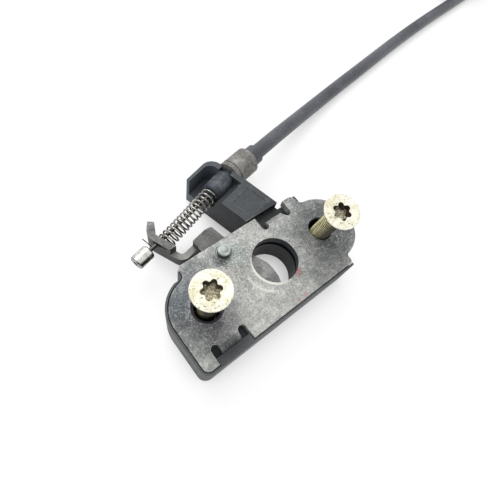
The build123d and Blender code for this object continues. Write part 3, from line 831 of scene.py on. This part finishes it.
def thread_radius(height, share):
    """Radius of the shank at a height, a share of the way round."""
    phase = (height / THREAD_PITCH - share) % 1.0
    ridge = min(1.0, max(0.0, THREAD_CREST - THREAD_FLANK * abs(phase - 0.5)))
    radius = ROOT_R + (SHANK_R - THREAD_PLAY - ROOT_R) * ridge
    return max(min(radius, SCREW_TIP_R + height), SHANK_R - THREAD_RUNOUT * (THREAD_TOP - height))


def socket_radius(share, turn):
    """Outline of the six-lobe socket: round lobes with flat flanks between them."""
    sixth = math.pi / 3
    off = abs((2 * math.pi * share - math.radians(turn) + sixth / 2) % sixth - sixth / 2)
    angle = min(off, LOBE_HALF)
    reach = SOCKET_LOBE_AT * math.cos(angle)
    reach += math.sqrt(SOCKET_LOBE_R ** 2 - (SOCKET_LOBE_AT * math.sin(angle)) ** 2)
    return reach + (SOCKET_WAIST_R - reach) * (off - angle) / (sixth / 2 - LOBE_HALF)


def screw_rings(turn):
    """Rings of (radii, height, material) from the tip, up over the head and into the socket."""
    shares = [k / AROUND for k in range(AROUND)]
    rings = [([SCREW_TIP_R] * AROUND, 0.0, ROOT)]
    count = math.ceil(THREAD_TOP * RINGS_A_TURN / THREAD_PITCH) - 1
    for i in range(1, count + 1):
        height = i * THREAD_PITCH / RINGS_A_TURN
        rings.append(([thread_radius(height, share) for share in shares], height, ROOT))
    top_edge = SCREW_LONG - EDGE_ROUND
    socket_floor = SCREW_LONG - SOCKET_DEEP
    for radius, height in (
        (SHANK_R, THREAD_TOP),
        (SHANK_R, CONE_FROM),
        (HEAD_R - HEAD_BEVEL, SCREW_LONG - HEAD_EDGE - HEAD_BEVEL),
        (HEAD_R, SCREW_LONG - HEAD_EDGE),
        (HEAD_R, top_edge),
        (HEAD_R - ROUND_IN, SCREW_LONG - ROUND_DOWN),
        (HEAD_R - EDGE_ROUND, SCREW_LONG),
    ):
        rings.append(([radius] * AROUND, height, HEAD))
    for grow, height, material in (
        (SOCKET_ROUND, SCREW_LONG, HEAD),
        (ROUND_IN, SCREW_LONG - ROUND_DOWN, HEAD),
        (0.0, top_edge, SOCKET),
        (-SOCKET_TAPER, socket_floor + FLOOR_ROUND_TALL, SOCKET),
        (-FLOOR_ROUND_IN, socket_floor, SOCKET),
    ):
        rings.append(([socket_radius(share, turn) + grow for share in shares], height, material))
    rings.append(([SOCKET_FLOOR_R] * AROUND, socket_floor, SOCKET))
    return rings


def add_screw(name):
    """Whole screw, with its thread and its six-lobe socket."""
    (x, y), (head_x, head_y), turn, crest = SCREWS[name]
    lean = Vector((head_x - x, head_y - y, SCREW_LONG)).normalized()
    start = Vector((x, y, SCREW_TIP_R * math.hypot(lean.x, lean.y)))
    side = (Vector((1, 0, 0)) - lean * lean.x).normalized()
    other = lean.cross(side)
    rings = screw_rings(turn)
    verts = []
    faces = []
    materials = []
    for radii, height, _ in rings:
        for k, radius in enumerate(radii):
            angle = 2 * math.pi * k / AROUND
            out = side * math.cos(angle) + other * math.sin(angle)
            verts.append(tuple((start + out * radius + lean * height) * MM))
    for i in range(1, len(rings)):
        for k in range(AROUND):
            after = (k + 1) % AROUND
            a = (i - 1) * AROUND
            faces.append((a + k, a + after, a + AROUND + after, a + AROUND + k))
            material = rings[i][2]
            if material == ROOT and rings[i][0][k] > SHANK_R - CREST_BAND:
                material = CREST
            materials.append(material)
    faces.append(tuple(reversed(range(AROUND))))
    materials.append(ROOT)
    faces.append(tuple(range((len(rings) - 1) * AROUND, len(rings) * AROUND)))
    materials.append(SOCKET)
    mesh = bpy.data.meshes.new(name + "_turned")
    mesh.from_pydata(verts, [], faces)
    for look in ("screw_left", crest, "thread_root", "socket"):
        mesh.materials.append(looks[look])
    mesh.polygons.foreach_set("material_index", materials)
    piece = link_piece(name + "_turned", mesh)
    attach(piece, "body")
    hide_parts(name)


for screw_name in SCREWS:
    add_screw(screw_name)


# Floor and light
FLOOR_TONE = (0.95, 0.95, 0.95, 1)
GLOW = 1.02
GLOW_SHARE = 0.78
# The table under the screws lies in the dark of their holes
HOLE_DARK = {"screw_left": 0.985, "screw_right": 0.995}
HOLE_DARK_R = 4.6
# It is darker between the plate and the cable bracket too
BRACKET_SHADE_AT = (-1.0, 23.0)
BRACKET_SHADE = 0.32
# Tight shadow where the object meets the table
NOOK_REACH = 7.0
NOOK_SAMPLES = 16
WORLD_LIGHT = 0.8
LAMPS = (
    # name, place and size in metres, power in watts
    ("key", (0.1, 0.42, 0.6), 0.4, 2.6),
    ("fill", (-0.5, 0.1, 0.5), 0.5, 0.7),
)


def floor_look():
    """White table that glows for the camera, except in the object's shadows."""
    look = Look("floor_look", 0.9, 0.0, 0.0)
    look.shader.inputs["Base Color"].default_value = FLOOR_TONE
    tree = look.tree
    rays = tree.nodes.new("ShaderNodeLightPath")
    seen = look.math("MAXIMUM", rays.outputs["Is Camera Ray"], rays.outputs["Is Glossy Ray"])
    share = look.product(seen, GLOW_SHARE)
    for name, dark in HOLE_DARK.items():
        hidden = look.product(look.near(SCREWS[name][0], HOLE_DARK_R, 0.4), dark)
        share = look.product(share, look.math("SUBTRACT", 1.0, hidden))
    shade = look.product(look.near(BRACKET_SHADE_AT, 2.0, 6.0), BRACKET_SHADE)
    share = look.product(share, look.math("SUBTRACT", 1.0, shade))
    nook = tree.nodes.new("ShaderNodeAmbientOcclusion")
    nook.samples = NOOK_SAMPLES
    nook.inputs["Distance"].default_value = NOOK_REACH * MM
    share = look.product(share, look.between(nook.outputs["AO"], -0.1, 0.95))
    glow = tree.nodes.new("ShaderNodeEmission")
    glow.inputs["Strength"].default_value = GLOW
    blend = tree.nodes.new("ShaderNodeMixShader")
    look.link(share, blend.inputs[0])
    look.link(look.shader.outputs[0], blend.inputs[1])
    look.link(glow.outputs[0], blend.inputs[2])
    look.link(blend.outputs[0], tree.nodes["Material Output"].inputs["Surface"])
    return look.material


def add_stage():
    """White floor that keeps a faint shadow, and soft light from all round."""
    bpy.ops.mesh.primitive_plane_add(size=8, location=(0, 0, 0))
    floor = bpy.context.object
    floor.name = "floor"
    floor.data.materials.append(floor_look())
    world = bpy.data.worlds.new("studio")
    scene.world = world
    world.use_nodes = True
    background = world.node_tree.nodes["Background"]
    background.inputs["Color"].default_value = (1, 1, 1, 1)
    background.inputs["Strength"].default_value = WORLD_LIGHT
    for name, place, size, power in LAMPS:
        data = bpy.data.lights.new(name, "AREA")
        data.size = size
        data.energy = power
        lamp = link_piece(name, data)
        lamp.location = place
        lamp.rotation_euler = (-Vector(place)).to_track_quat("-Z", "Y").to_euler()


add_stage()
